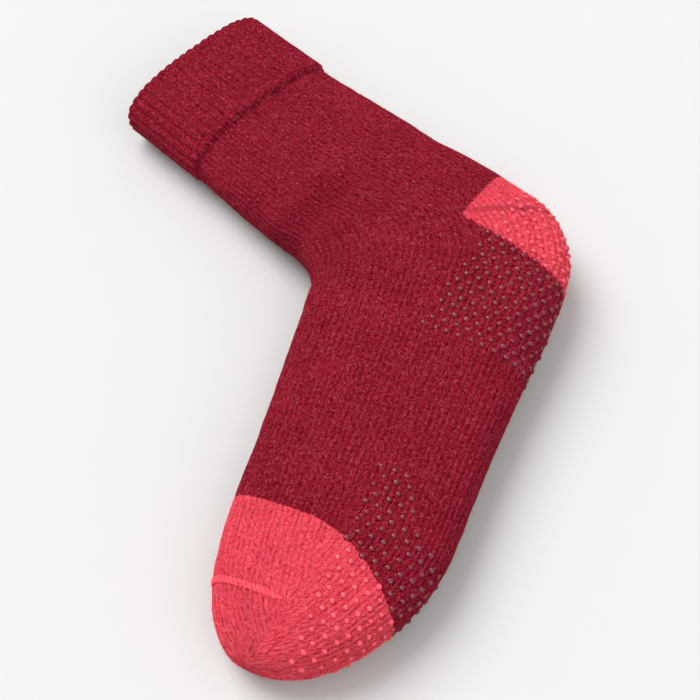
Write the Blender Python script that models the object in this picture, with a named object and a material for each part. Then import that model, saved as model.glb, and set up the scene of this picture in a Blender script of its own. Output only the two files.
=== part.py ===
"""Slipper sock: a knitted tube with a closed toe, a turned heel pocket and a ribbed cuff.

It lies slack on its side. X runs from toe to heel, Y from the sole to the top of the foot, and Z up from the
floor. Metres.
"""

import math

import bpy
from mathutils import Vector

# Lengths along the foot
FOOT_LENGTH = 0.246  # toe tip to back of heel
TOE_LENGTH = 0.070  # over which the toe rounds in, seen from the side of the foot
TOE_NOSE = 0.030  # over which the toe thins out
TIP_RISE = 0.62  # share of the toe's height at which its tip sits
INSTEP_AT = 0.63  # share of the foot's length at which the top starts to rise to the leg

# Heights from the sole to the top of the foot, of the slack tube
TOE_HEIGHT = 0.080
TOE_BASE_HEIGHT = 0.083
BALL_HEIGHT = 0.086
WAIST_HEIGHT = 0.091
INSTEP_HEIGHT = 0.099
ARCH_LIFT = 0.0012  # how far the sole is drawn up under the arch

# Thickness from side to side, which stands upright while the sock lies on its side
TOE_THICKNESS = 0.031
BALL_THICKNESS = 0.033
WAIST_THICKNESS = 0.034
HEEL_THICKNESS = 0.037
ANKLE_THICKNESS = 0.036
CUFF_THICKNESS = 0.031

# Heel pocket and leg
HEEL_ROUND_LENGTH = 0.052
HEEL_ROUND_HEIGHT = 0.060
ANKLE_DEPTH = 0.087  # front of ankle to the back, just above the heel pocket
CUFF_DEPTH = 0.081
CUFF_LENGTH = 0.046
LEG_LENGTH = 0.136  # along the back, from the heel pocket to the collar
LEG_LEAN = math.radians(20)

# Bend from the top of the foot into the leg's front
BEND_HEIGHT = 0.036
BEND_SLOPE = math.radians(8)  # where it leaves the top of the foot
BEND_PULL = 0.42  # length of the curve's handles, as a share of the distance between its ends

# Form of a section: 2 is an ellipse, and more is squarer
SOLE_SQUARENESS = 2.7
TOP_SQUARENESS = 2.5
HEEL_SQUARENESS = 2.15
TOE_SOLE_SQUARENESS = 1.85  # of the toe seen from the side of the foot, below its tip
TOE_TOP_SQUARENESS = 2.35

# Knitted wall
WALL = 0.0030
CUFF_STEP = 0.0010  # how far the ribbed cuff stands proud of the leg
CUFF_STEP_RUN = 0.0020
SETTLE = 0.0020  # how far the slack tube flattens itself on the floor

# Linked seam that closes the toe
SEAM_FROM_TIP = 0.024
SEAM_RADIUS = 0.0011
SEAM_END_SHARE = 0.45  # how thin the seam's ends run out, against its middle
SEAM_GAP = 0.0003
SEAM_START = math.radians(92)  # angles of the section between which it runs, over the top of the toes
SEAM_END = math.radians(212)

# Mesh density
AROUND = 40
TOE_RINGS = 9
RINGS_PER_ROW = 4
STEP_RINGS = 1
CUFF_RINGS = 3
LEAST_STRETCH = 0.2  # of a row, so that no ring sits right behind another
SEAM_STEPS = 24
SEAM_SIDES = 8
SEAM_LOOK = 0.02  # how far ahead the seam's directions are read from the surface, in radians and shares

BURGUNDY = (0.275, 0.012, 0.027, 1.0)
CORAL = (0.800, 0.070, 0.100, 1.0)


def leg_frame():
    """The back point where the leg starts, the leg's axis, and the way from its back to its front."""
    axis = Vector((math.sin(LEG_LEAN), math.cos(LEG_LEAN)))
    forward = Vector((-math.cos(LEG_LEAN), math.sin(LEG_LEAN)))
    base = Vector((FOOT_LENGTH, HEEL_ROUND_HEIGHT))
    return base, axis, forward


def heel_point(turn):
    """A point of the sole's side: turn 0 to 1 goes round the heel, less is on the sole, more on the leg."""
    start = FOOT_LENGTH - HEEL_ROUND_LENGTH
    if turn <= 0:
        return Vector((start + HEEL_ROUND_LENGTH * turn, 0))
    base, axis, forward = leg_frame()
    if turn >= 1:
        return base + axis * (HEEL_ROUND_HEIGHT * (turn - 1))
    angle, power = turn * math.pi / 2, 2 / HEEL_SQUARENESS
    x = start + HEEL_ROUND_LENGTH * math.sin(angle) ** power
    return Vector((x, HEEL_ROUND_HEIGHT * (1 - math.cos(angle) ** power)))


def bend_point(turn):
    """A point of the bend at the front of the ankle, from the instep (0) to the leg's front (1)."""
    start = Vector((FOOT_LENGTH * INSTEP_AT, INSTEP_HEIGHT))
    base, axis, forward = leg_frame()
    reach = (INSTEP_HEIGHT + BEND_HEIGHT - base.y - ANKLE_DEPTH * forward.y) / axis.y
    end = base + forward * ANKLE_DEPTH + axis * reach
    pull = (end - start).length * BEND_PULL
    near = start + Vector((math.cos(BEND_SLOPE), math.sin(BEND_SLOPE))) * pull
    far = end - axis * pull
    rest = 1 - turn
    return rest**3 * start + 3 * rest**2 * turn * near + 3 * rest * turn**2 * far + turn**3 * end


def leg_point(along, depth, side):
    """A point of the leg's outline at a share of its run, on its front (side 1) or its back (side -1)."""
    base, axis, forward = leg_frame()
    middle = base + forward * (ANKLE_DEPTH / 2) + axis * (along * LEG_LENGTH)
    return middle + forward * (side * depth / 2)


def section_rows():
    """The sections from toe to collar: name, sole point, top point and thickness."""
    foot = [
        # name, along the sole and along the top in shares of the foot, lift, height, thickness
        ("toe", 0.0, 0.0, 0.0, TOE_HEIGHT, TOE_THICKNESS),
        ("toe base", 0.13, 0.13, 0.0, TOE_BASE_HEIGHT, TOE_THICKNESS),
        ("ball", 0.29, 0.28, 0.0, BALL_HEIGHT, BALL_THICKNESS),
        ("waist", 0.46, 0.43, ARCH_LIFT, WAIST_HEIGHT, WAIST_THICKNESS),
        ("instep", 0.63, INSTEP_AT, ARCH_LIFT / 2, INSTEP_HEIGHT, (WAIST_THICKNESS + HEEL_THICKNESS) / 2),
    ]
    heel = [
        # name, turn round the heel, turn of the bend in front, thickness
        ("heel front", -0.29, 0.22, HEEL_THICKNESS),
        ("heel under", 0.22, 0.40, HEEL_THICKNESS),
        ("heel round", 0.55, 0.58, HEEL_THICKNESS * 0.99),
        ("heel back", 0.86, 0.76, HEEL_THICKNESS * 0.96),
        ("ankle", 1.30, 0.90, ANKLE_THICKNESS),
    ]
    cuff = 1 - CUFF_LENGTH / LEG_LENGTH
    step = CUFF_STEP_RUN / LEG_LENGTH
    proud = 2 * CUFF_STEP
    base, axis, forward = leg_frame()
    bend = (bend_point(1) - base).dot(axis) / LEG_LENGTH
    leg = [
        # name, up the back and up the front in shares of the leg, share of the taper to the cuff, added size
        ("low leg", 0.40 * cuff, bend + 0.25 * (cuff - bend), 0.30, 0),
        ("high leg", 0.72 * cuff, bend + 0.62 * (cuff - bend), 0.65, 0),
        ("leg end", cuff, cuff, 1, 0),
        ("cuff start", cuff + step, cuff + step, 1, proud),
        ("collar", 1, 1, 1, proud),
    ]
    rows = []
    for name, sole, top, lift, height, thickness in foot:
        under = Vector((sole * FOOT_LENGTH, lift))
        over = Vector((top * FOOT_LENGTH, height))
        rows.append((name, under, over, thickness))
    for name, turn, bend_turn, thickness in heel:
        rows.append((name, heel_point(turn), bend_point(bend_turn), thickness))
    for name, back, front, taper, added in leg:
        depth = ANKLE_DEPTH + (CUFF_DEPTH - ANKLE_DEPTH) * taper + added
        thickness = ANKLE_THICKNESS + (CUFF_THICKNESS - ANKLE_THICKNESS) * taper + added
        rows.append((name, leg_point(back, depth, -1), leg_point(front, depth, 1), thickness))
    return rows


def between(before, start, end, after, share):
    """A smooth curve through start and end, with slopes taken from their neighbours."""
    into, out = (end - before) / 2, (after - start) / 2
    square, cube = share**2, share**3
    return (
        start * (2 * cube - 3 * square + 1)
        + into * (cube - 2 * square + share)
        + end * (3 * square - 2 * cube)
        + out * (cube - square)
    )


def profile(rows, place):
    """The sole point, top point and thickness at a place in rows: 2.5 is midway from row 2 to row 3."""
    last = len(rows) - 1
    row = min(int(place), last - 1)
    share = place - row
    near = [rows[min(max(row + step, 0), last)] for step in (-1, 0, 1, 2)]
    if near[1][0] == "leg end" or near[2][0] == "collar":
        near[0], near[3] = near[1], near[2]
    return [between(*[each[column] for each in near], share) for column in (1, 2, 3)]


def place_at(rows, x):
    """The place in the rows whose sole point lies at x, on the foot's own straight stretch."""
    low, high = 0.0, float([row[0] for row in rows].index("instep"))
    for halving in range(40):
        middle = (low + high) / 2
        if profile(rows, middle)[0].x < x:
            low = middle
        else:
            high = middle
    return (low + high) / 2


def rounding(distance, run, squareness):
    """The share of its full size that a section has at a distance from the tip, over the run of the toe."""
    left = 1 - min(distance / run, 1)
    return max(1 - left**squareness, 0) ** (1 / squareness)


def ring_places(rows):
    """Where the rings go: evenly in angle round the toe, then a few for each row."""
    places = [("toe", (step + 1) / TOE_RINGS) for step in range(TOE_RINGS)]
    first = place_at(rows, TOE_LENGTH)
    ends = [first] + [float(row) for row in range(len(rows)) if row > first + LEAST_STRETCH]
    counts = {"leg end": STEP_RINGS, "cuff start": CUFF_RINGS}
    for start, end in zip(ends, ends[1:]):
        count = counts.get(rows[int(start)][0], RINGS_PER_ROW)
        places += [("row", start + (end - start) * (step + 1) / count) for step in range(count)]
    return places


def section_shape(angle):
    """The section at an angle from the middle of the sole: its share towards the top, and to the side."""
    up, side = -math.cos(angle), math.sin(angle)
    power = 2 / (SOLE_SQUARENESS if up < 0 else TOP_SQUARENESS)
    return math.copysign(abs(up) ** power, up), math.copysign(abs(side) ** power, side)


def ring_frame(rows, kind, place, inset):
    """Centre, half height vector, half thickness and rise of the middle above the floor of one ring."""
    if kind == "toe":
        back = (TOE_LENGTH - inset) * (1 - math.cos(place * math.pi / 2))
        sole, top, thickness = profile(rows, place_at(rows, inset + back))
        low = rounding(back, TOE_LENGTH - inset, TOE_SOLE_SQUARENESS)
        high = rounding(back, TOE_LENGTH - inset, TOE_TOP_SQUARENESS)
        thin = rounding(back, TOE_NOSE, 2)
        middle = sole.lerp(top, TIP_RISE)
    else:
        sole, top, thickness = profile(rows, place)
        low = high = thin = 1
        middle = sole
    inward = (top - sole).normalized() * inset
    sole, top = middle.lerp(sole + inward, low), middle.lerp(top - inward, high)
    return (sole + top) / 2, (top - sole) / 2, (thickness / 2 - inset) * thin, thickness / 2 - SETTLE


def surface_point(frame, angle, inset):
    """A point of a ring, flattened where it would reach below the floor."""
    centre, half_height, half_thickness, rise = frame
    towards_top, to_side = section_shape(angle)
    flat = centre + half_height * towards_top
    return Vector((flat.x, flat.y, max(rise + half_thickness * to_side, inset)))


def tip_point(rows, inset):
    """The very tip of the toe."""
    sole, top, thickness = profile(rows, 0)
    middle = sole.lerp(top, TIP_RISE)
    return Vector((inset, middle.y, thickness / 2 - SETTLE))


def surface_rings(rows, inset):
    """The outer skin with inset 0, or the inner one a wall's thickness inside it."""
    rings = []
    for kind, place in ring_places(rows):
        frame = ring_frame(rows, kind, place, inset)
        rings.append([surface_point(frame, 2 * math.pi * step / AROUND, inset) for step in range(AROUND)])
    return rings


def finish(name, mesh, colour, roughness):
    """Adds a mesh to the scene as one named sub-part with its own material."""
    material = bpy.data.materials.new(name)
    material.use_nodes = True
    shader = material.node_tree.nodes["Principled BSDF"]
    shader.inputs["Base Color"].default_value = colour
    shader.inputs["Roughness"].default_value = roughness
    mesh.materials.append(material)
    mesh.shade_smooth()
    made = bpy.data.objects.new(name, mesh)
    bpy.context.scene.collection.objects.link(made)
    return made


def tube_faces(first, rings, around, inside_out):
    """Quads between rings of vertices that start at index first."""
    faces = []
    for ring in range(rings - 1):
        for step in range(around):
            a, b = first + ring * around + step, first + ring * around + (step + 1) % around
            quad = (a, b, b + around, a + around)
            faces.append(quad[::-1] if inside_out else quad)
    return faces


def knit_body(rows):
    """Cuff, leg, heel pocket, foot and toe pocket, knitted whole: one hollow solid, open at the collar."""
    outer, inner = surface_rings(rows, 0.0), surface_rings(rows, WALL)
    count = len(outer)
    points = [p for ring in outer for p in ring] + [p for ring in inner for p in ring]
    points += [tip_point(rows, 0.0), tip_point(rows, WALL)]
    inside = count * AROUND
    outer_tip, inner_tip = len(points) - 2, len(points) - 1
    faces = tube_faces(0, count, AROUND, True) + tube_faces(inside, count, AROUND, False)
    for step in range(AROUND):
        after = (step + 1) % AROUND
        faces.append((outer_tip, step, after))
        faces.append((inner_tip, inside + after, inside + step))
        rim = (count - 1) * AROUND
        faces.append((rim + step, inside + rim + step, inside + rim + after, rim + after))
    mesh = bpy.data.meshes.new("knit_body")
    mesh.from_pydata(points, [], faces)
    mesh.validate()
    return finish("knit_body", mesh, BURGUNDY, 0.95)


def toe_seam(rows):
    """The linked seam across the top of the toe: a cord that follows the wall, just clear of it."""
    share = math.acos(1 - SEAM_FROM_TIP / TOE_LENGTH) / (math.pi / 2)
    frame = ring_frame(rows, "toe", share, 0.0)
    behind = ring_frame(rows, "toe", share + SEAM_LOOK, 0.0)
    points = []
    for step in range(SEAM_STEPS + 1):
        share_along = step / SEAM_STEPS
        radius = SEAM_RADIUS * (1 - (1 - SEAM_END_SHARE) * (2 * share_along - 1) ** 6)
        angle = SEAM_START + (SEAM_END - SEAM_START) * share_along
        here = surface_point(frame, angle, 0.0)
        ahead = surface_point(frame, angle + SEAM_LOOK, 0.0)
        along = (ahead - surface_point(frame, angle - SEAM_LOOK, 0.0)).normalized()
        back = (surface_point(behind, angle, 0.0) - here).normalized()
        out = back.cross(along).normalized()
        across = along.cross(out).normalized()
        centre = here + out * (radius + SEAM_GAP)
        for side in range(SEAM_SIDES):
            turn = 2 * math.pi * side / SEAM_SIDES
            points.append(centre + out * (radius * math.cos(turn)) + across * (radius * math.sin(turn)))
    faces = tube_faces(0, SEAM_STEPS + 1, SEAM_SIDES, False)
    faces.append(tuple(range(SEAM_SIDES))[::-1])
    faces.append(tuple(range(len(points) - SEAM_SIDES, len(points))))
    mesh = bpy.data.meshes.new("toe_seam")
    mesh.from_pydata(points, [], faces)
    mesh.validate()
    return finish("toe_seam", mesh, CORAL, 0.9)


def stand_on_origin(parts):
    """Moves the parts so that the middle of the sock's footprint on the floor is the origin."""
    corners = [vertex.co for part in parts for vertex in part.data.vertices]
    along = [corner.x for corner in corners]
    across = [corner.y for corner in corners]
    middle = Vector((min(along) + max(along), min(across) + max(across), 0)) / 2
    for part in parts:
        part.location = -middle


def build():
    for old in list(bpy.data.objects):
        bpy.data.objects.remove(old)
    rows = section_rows()
    stand_on_origin([knit_body(rows), toe_seam(rows)])


build()
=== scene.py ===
"""Dresses the slipper sock in brushed knit, with coral toe and heel pockets and clear grip dots.

The sock lies slack on its side, with a ribbed cuff and a seam over the toes. X runs from toe to heel, Y
from the sole to the top of the foot, and Z up from the floor, in metres. The sock's own shape is worked
out from the toe tip and the sole, then moved onto the CAD model.
"""

import math

import bpy
import numpy as np
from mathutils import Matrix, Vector


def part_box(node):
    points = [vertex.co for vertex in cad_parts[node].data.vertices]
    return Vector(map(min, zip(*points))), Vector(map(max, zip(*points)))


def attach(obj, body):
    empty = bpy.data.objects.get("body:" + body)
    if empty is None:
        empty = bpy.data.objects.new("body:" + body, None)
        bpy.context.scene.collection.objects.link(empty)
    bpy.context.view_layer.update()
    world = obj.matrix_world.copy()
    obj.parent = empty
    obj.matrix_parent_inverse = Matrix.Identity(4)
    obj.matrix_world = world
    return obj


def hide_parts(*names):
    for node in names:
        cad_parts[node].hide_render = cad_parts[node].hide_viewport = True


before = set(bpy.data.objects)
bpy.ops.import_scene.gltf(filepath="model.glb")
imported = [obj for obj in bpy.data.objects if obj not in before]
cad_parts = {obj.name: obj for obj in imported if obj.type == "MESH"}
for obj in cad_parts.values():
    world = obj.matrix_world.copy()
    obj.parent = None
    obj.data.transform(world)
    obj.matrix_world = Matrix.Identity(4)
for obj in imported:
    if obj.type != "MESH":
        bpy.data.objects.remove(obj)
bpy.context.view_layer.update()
BODY_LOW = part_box("knit_body")[0]

# Sizes of the slack sock, as in the CAD model
FOOT_LENGTH = 0.246
TOE_LENGTH = 0.070
TOE_NOSE = 0.030  # over which the toe grows to its full thickness
TIP_RISE = 0.62  # the tip's height, as a share of the toe's
INSTEP_AT = 0.63  # share of the foot's length
TOE_HEIGHT = 0.080
TOE_BASE_HEIGHT = 0.083
BALL_HEIGHT = 0.086
WAIST_HEIGHT = 0.091
INSTEP_HEIGHT = 0.099
ARCH_LIFT = 0.0012
TOE_THICKNESS = 0.031
BALL_THICKNESS = 0.033
WAIST_THICKNESS = 0.034
HEEL_THICKNESS = 0.037
ANKLE_THICKNESS = 0.036
CUFF_THICKNESS = 0.031
HEEL_ROUND_LENGTH = 0.052
HEEL_ROUND_HEIGHT = 0.060
ANKLE_DEPTH = 0.087
CUFF_DEPTH = 0.081
CUFF_LENGTH = 0.046
LEG_LENGTH = 0.136
LEG_LEAN = math.radians(20)
BEND_HEIGHT = 0.036  # from the instep up to the start of the leg's front
BEND_SLOPE = math.radians(8)  # at which the instep runs into the bend
BEND_PULL = 0.42  # how long the bend follows the slopes of its ends
SOLE_SQUARENESS = 2.7  # 2 is an ellipse, and more is squarer
TOP_SQUARENESS = 2.5
HEEL_SQUARENESS = 2.15
TOE_SOLE_SQUARENESS = 1.85
TOE_TOP_SQUARENESS = 2.35
WALL = 0.0030
CUFF_STEP = 0.0010  # how far the cuff stands proud
CUFF_STEP_RUN = 0.0020
SETTLE = 0.0020  # how deep the floor flattens the slack sock

# Seam over the toes
SEAM_FROM_TIP = 0.024
SEAM_RADIUS = 0.0011
SEAM_END_SHARE = 0.45  # of the radius, at the cord's ends
SEAM_LIFT = 0.10  # share of its radius that the cord's middle stands above the cloth
SEAM_FLATNESS = 0.62  # the cord's height, next to a round one's
SEAM_WIDTH = 1.2  # and its width
SEAM_START = math.radians(92)
SEAM_END = math.radians(212)
SEAM_TAPER = 6  # more keeps the cord thick closer to its ends
SEAM_BEHIND = 0.02  # share of a quarter turn to the section behind the seam
SEAM_STEPS = 480
SEAM_SIDES = 16
SEAM_STITCH = 0.0019  # from one stitch over the cord to the next
SEAM_GROOVE = 0.72  # share of the radius down in the grooves between stitches
SEAM_SWELL = 0.40  # what a stitch adds to it

# Knit
WALES = 88
STEPS_PER_WALE = 5
AROUND = WALES * STEPS_PER_WALE
COURSE = 0.00135  # from one row of stitches to the next
RIDGE = 0.00052  # from a gap between wales up to a wale's crest
RIB_RIDGE = 0.0013  # the same on the ribbed cuff
WALES_PER_RIB = 2
ROPE = 0.00020  # how far a wale swells and thins along its length
CUFF_CALM = 0.6  # share of the rope that the ribbed cuff goes without
WANDER = 0.00030  # how far a wale strays to either side
WALE_ROUNDNESS = 0.8
RIB_ROUNDNESS = 0.9
RIDGE_MEAN = 0.6  # share of a ridge below the cloth's own surface
RELIEF_GIRTH = 0.05  # the relief grows in over this girth at the tip of the toe
RELIEF_START = 0.3  # and begins at this share of it
GORE_WIDTH = 0.0017
GORE_DEPTH = 0.00035
GORE_REACH = 0.0005  # how far the gore's groove runs past the corner of the heel pocket
MITRE_REACH = 0.22  # share of the girth, from the middle of the sole, that turns sharply at the heel
MITRE_LEAD = 0.1  # of a row, how far before the heel's middle row the turned rings begin
KNIT_CLEAR = 0.0006  # the cloth's least height above the floor, where the pressed dots carry it
TOE_RINGS = 42
BODY_RINGS = 124
RIM_RINGS = 3
RIM_LIFT = 0.35  # share of the wall that the rim stands past the collar
INNER_RINGS = 40
ROUGH_RINGS = (8, 40)  # of the toe and the rest, enough to find the sock's least Y
FINE = 2880  # steps of a section while its girth is measured
PLACE_STEPS = 900  # steps of the foot and leg while their length is measured
HALVINGS = 40  # of a stretch, while a place in it is looked for

# Coral pockets, in the slack sock's own X and Y
TOE_EDGE_AT = 0.0575  # from the tip, over the instep
TOE_EDGE_BOW = 11.2  # how strongly the edge bows back to the tip towards the sole, per metre
TOE_EDGE_FROM = 0.054  # height above the sole from which it bows
HEEL_APEX = Vector((0.208, 0.052))
HEEL_EDGE_SOLE = Vector((0.197, 0.0))
HEEL_EDGE_BACK = Vector((0.248, 0.045))

# Grip dots
DOT_RADIUS = 0.00110
DOT_HEIGHT = 0.00085
DOT_PROFILE = ((1.0, 0.12), (0.91, 0.46), (0.69, 0.75), (0.37, 0.94))  # shares of radius and height
DOT_SINK = 0.0003
DOT_ACROSS = 0.0051
DOT_ALONG = 0.0040
DOT_BORDER = 0.036  # height above the sole that the rows are laid out from
DOT_STRAY = 0.00018
DOT_STRAY_SEED = 11
DOT_SIZE_SEED = 12
DOT_SIZES = (0.92, 1.10)  # least and most, as shares of the radius
DOT_LENGTHS = (0.94, 1.10)  # the same along each dot
DOT_WIDTHS = (0.94, 1.06)  # and across it
DOTS_ABOVE = 4  # most dots that a row has above the border
DOT_SIDES = 12
DOT_MIDDLE_ROOM = 0.0017  # from the middle of the sole to the nearest dot on either side of it
DOT_TOP_SLACK = 0.0002  # a dot this little above its field still counts
DOT_REAR_SLACK = 0.0003  # and one this little behind it
FOREFOOT_FIELD = (0.0065, 0.0865)
FOREFOOT_TOP = 0.0365
FOREFOOT_REAR_HEIGHTS = (0.000, 0.003, 0.008, 0.016, 0.020, 0.025)
FOREFOOT_REAR = (0.0610, 0.0620, 0.0635, 0.0695, 0.0780, 0.0865)
HEEL_FIELD = (0.1520, 0.2380)
HEEL_TOP_PLACES = (0.152, 0.203, 0.238)
HEEL_TOP = (0.047, 0.039, 0.034)

# Loose fibres of the nap
FIBRE_THICKNESS = 0.00007
FIBRE_ROOT = 0.0002  # how deep a fibre starts in the cloth
FIBRE_CLEAR = 0.0001  # least height above the floor
FIBRE_LENGTHS = (0.5, 1.0)  # shortest and longest, as shares of a layer's longest fibre
FIBRE_RISES = (0.25, 0.9)  # lowest and highest stand, as shares of the fibre's length
FIBRE_WEIGHTS = (0.6, 1.0)  # thinnest and thickest, as shares of the thickness
FIBRE_LEAN = (0.9, 0.7)  # how strongly fibres lie along the wales and across them
FIBRE_CURL = 0.35
FIBRE_BEND_RISE = 0.65  # share of the rise at the bend
FIBRE_BEND_REACH = 0.4  # share of the length that the bend lies along the cloth
FIBRE_TIP_REACH = 0.8  # and that the tip does
FIBRE_BEND_THICKNESS = 0.8  # share of the thickness left at the bend
FIBRE_POINTS = 7
FIBRE_FACES = ((0, 1, 4, 3), (1, 2, 5, 4), (2, 0, 3, 5), (3, 4, 6), (4, 5, 6), (5, 3, 6), (2, 1, 0))

# Flat layout for baking
TIP_ROOM = 0.01  # share of its height that the fans of each toe tip take

# View and floor
VIEW_AZIMUTH = math.radians(-66)
VIEW_ELEVATION = math.radians(57)
VIEW_DISTANCE = 0.56
VIEW_MARGIN = 1.06
FLOOR_REACH = 6.0
FLOOR_GAP = 0.0002  # the floor lies this far under the pressed dots

# Colours
BURGUNDY = (0.354, 0.0086, 0.0312, 1)
CORAL = (0.975, 0.089, 0.136, 1)
# painted shade: darkens the yarn's colour in the gaps and hollows between stitches
PAINTED_SHADE_TINT = (0.62, 0.40, 0.40, 1)  # multiplies the yarn's own colour down in the gaps
# painted highlight: the pale colour that the lit tops of the brushed nap are mixed towards
PAINTED_HIGHLIGHT_TINT = (1.0, 0.50, 0.60, 1)
# dots: the yarn under each clear dot painted into its colour, with painted shade at the rim and a lighter
# painted crown
DOT_SHADED_RIM_BURGUNDY = (0.120, 0.004, 0.011, 1)
DOT_SHADED_RIM_CORAL = (0.74, 0.042, 0.068, 1)
DOT_LIT_CROWN_BURGUNDY = (0.195, 0.014, 0.026, 1)
DOT_LIT_CROWN_CORAL = (0.92, 0.082, 0.122, 1)
DOT_MILK = (0.60, 0.20, 0.24, 1)
FIBRE_BURGUNDY = (0.42, 0.03, 0.055, 1)
FIBRE_CORAL = (0.95, 0.16, 0.19, 1)
FIBRE_PALE = (0.95, 0.55, 0.52, 1)
PAPER_COLOURS = ((0.530, 0.532, 0.532, 1), (0.544, 0.546, 0.546, 1))


def point(x, y):
    return np.array((x, y), dtype=float)


def unit(vectors):
    """The same ways, each of length 1."""
    return vectors / np.maximum(np.linalg.norm(vectors, axis=-1, keepdims=True), 1e-12)


def run_along(points):
    """The length of the way through points, from the first to each of them."""
    steps = np.linalg.norm(np.diff(points, axis=0), axis=-1)
    return np.concatenate((np.zeros_like(steps[:1]), np.cumsum(steps, axis=0)))


def leg_frame():
    """The back point where the leg starts, the leg's axis, and the way from its back to its front."""
    axis = point(math.sin(LEG_LEAN), math.cos(LEG_LEAN))
    forward = point(-math.cos(LEG_LEAN), math.sin(LEG_LEAN))
    return point(FOOT_LENGTH, HEEL_ROUND_HEIGHT), axis, forward


def heel_point(turn):
    """A point of the sole's side. Turn 0 to 1 goes round the heel, less is sole, and more is leg."""
    start = FOOT_LENGTH - HEEL_ROUND_LENGTH
    if turn <= 0:
        return point(start + HEEL_ROUND_LENGTH * turn, 0)
    base, axis, forward = leg_frame()
    if turn >= 1:
        return base + axis * (HEEL_ROUND_HEIGHT * (turn - 1))
    angle = turn * math.pi / 2
    power = 2 / HEEL_SQUARENESS
    x = start + HEEL_ROUND_LENGTH * math.sin(angle) ** power
    return point(x, HEEL_ROUND_HEIGHT * (1 - math.cos(angle) ** power))


def bend_point(turn):
    """A point of the bend at the front of the ankle, from the instep (0) to the leg's front (1)."""
    start = point(FOOT_LENGTH * INSTEP_AT, INSTEP_HEIGHT)
    base, axis, forward = leg_frame()
    reach = (INSTEP_HEIGHT + BEND_HEIGHT - base[1] - ANKLE_DEPTH * forward[1]) / axis[1]
    end = base + forward * ANKLE_DEPTH + axis * reach
    pull = np.linalg.norm(end - start) * BEND_PULL
    near = start + point(math.cos(BEND_SLOPE), math.sin(BEND_SLOPE)) * pull
    far = end - axis * pull
    rest = 1 - turn
    return rest**3 * start + 3 * rest**2 * turn * near + 3 * rest * turn**2 * far + turn**3 * end


def leg_point(along, depth, side):
    """A point of the leg's outline at a share of its run, on its front (side 1) or back (side -1)."""
    base, axis, forward = leg_frame()
    middle = base + forward * (ANKLE_DEPTH / 2) + axis * (along * LEG_LENGTH)
    return middle + forward * (side * depth / 2)


def section_rows():
    """The sections from toe to collar: name, sole point, top point and thickness."""
    instep_thickness = (WAIST_THICKNESS + HEEL_THICKNESS) / 2
    # name, shares of the foot's length at the sole and the top, heights of both, thickness
    foot = [
        ("toe", 0.0, 0.0, 0.0, TOE_HEIGHT, TOE_THICKNESS),
        ("toe base", 0.13, 0.13, 0.0, TOE_BASE_HEIGHT, TOE_THICKNESS),
        ("ball", 0.29, 0.28, 0.0, BALL_HEIGHT, BALL_THICKNESS),
        ("waist", 0.46, 0.43, ARCH_LIFT, WAIST_HEIGHT, WAIST_THICKNESS),
        ("instep", 0.63, INSTEP_AT, ARCH_LIFT / 2, INSTEP_HEIGHT, instep_thickness),
    ]
    # name, turn round the heel, turn along the bend, thickness
    heel = [
        ("heel front", -0.29, 0.22, HEEL_THICKNESS),
        ("heel under", 0.22, 0.40, HEEL_THICKNESS),
        ("heel round", 0.55, 0.58, HEEL_THICKNESS * 0.99),
        ("heel back", 0.86, 0.76, HEEL_THICKNESS * 0.96),
        ("ankle", 1.30, 0.90, ANKLE_THICKNESS),
    ]
    cuff = 1 - CUFF_LENGTH / LEG_LENGTH
    step = CUFF_STEP_RUN / LEG_LENGTH
    proud = 2 * CUFF_STEP
    base, axis, forward = leg_frame()
    bend = (bend_point(1) - base).dot(axis) / LEG_LENGTH
    # name, shares of the leg's run at its back and front, how far it has tapered, what the cuff adds
    leg = [
        ("low leg", 0.40 * cuff, bend + 0.25 * (cuff - bend), 0.30, 0),
        ("high leg", 0.72 * cuff, bend + 0.62 * (cuff - bend), 0.65, 0),
        ("leg end", cuff, cuff, 1, 0),
        ("cuff start", cuff + step, cuff + step, 1, proud),
        ("collar", 1, 1, 1, proud),
    ]
    rows = []
    for name, sole, top, lift, height, thickness in foot:
        rows.append((name, point(sole * FOOT_LENGTH, lift), point(top * FOOT_LENGTH, height), thickness))
    for name, turn, bend_turn, thickness in heel:
        rows.append((name, heel_point(turn), bend_point(bend_turn), thickness))
    for name, back, front, taper, added in leg:
        depth = ANKLE_DEPTH + (CUFF_DEPTH - ANKLE_DEPTH) * taper + added
        thickness = ANKLE_THICKNESS + (CUFF_THICKNESS - ANKLE_THICKNESS) * taper + added
        rows.append((name, leg_point(back, depth, -1), leg_point(front, depth, 1), thickness))
    return rows


def between(before, start, end, after, share):
    """A smooth curve through start and end, with slopes taken from their neighbours."""
    into = (end - before) / 2
    out = (after - start) / 2
    square = share**2
    cube = share**3
    return (
        start * (2 * cube - 3 * square + 1)
        + into * (cube - 2 * square + share)
        + end * (3 * square - 2 * cube)
        + out * (cube - square)
    )


def profile(rows, place):
    """The sole point, top point and thickness at a place in rows: 2.5 is midway from row 2 to row 3."""
    last = len(rows) - 1
    row = min(int(place), last - 1)
    share = place - row
    near = [rows[min(max(row + step, 0), last)] for step in (-1, 0, 1, 2)]
    if near[1][0] == "leg end" or near[2][0] == "collar":  # the cuff and its step run straight
        near[0] = near[1]
        near[3] = near[2]
    return [between(*[each[column] for each in near], share) for column in (1, 2, 3)]


def row_number(rows, name):
    return [row[0] for row in rows].index(name)


def place_at(rows, x):
    """The place in the rows whose sole point lies at x, on the foot's own straight stretch."""
    low = 0.0
    high = float(row_number(rows, "instep"))
    for halving in range(HALVINGS):
        middle = (low + high) / 2
        if profile(rows, middle)[0][0] < x:
            low = middle
        else:
            high = middle
    return (low + high) / 2


def rounding(distance, run, squareness):
    """The share of its full size that a section has reached at a distance from the tip of the toe."""
    left = 1 - min(distance / run, 1)
    return max(1 - left**squareness, 0) ** (1 / squareness)


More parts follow.
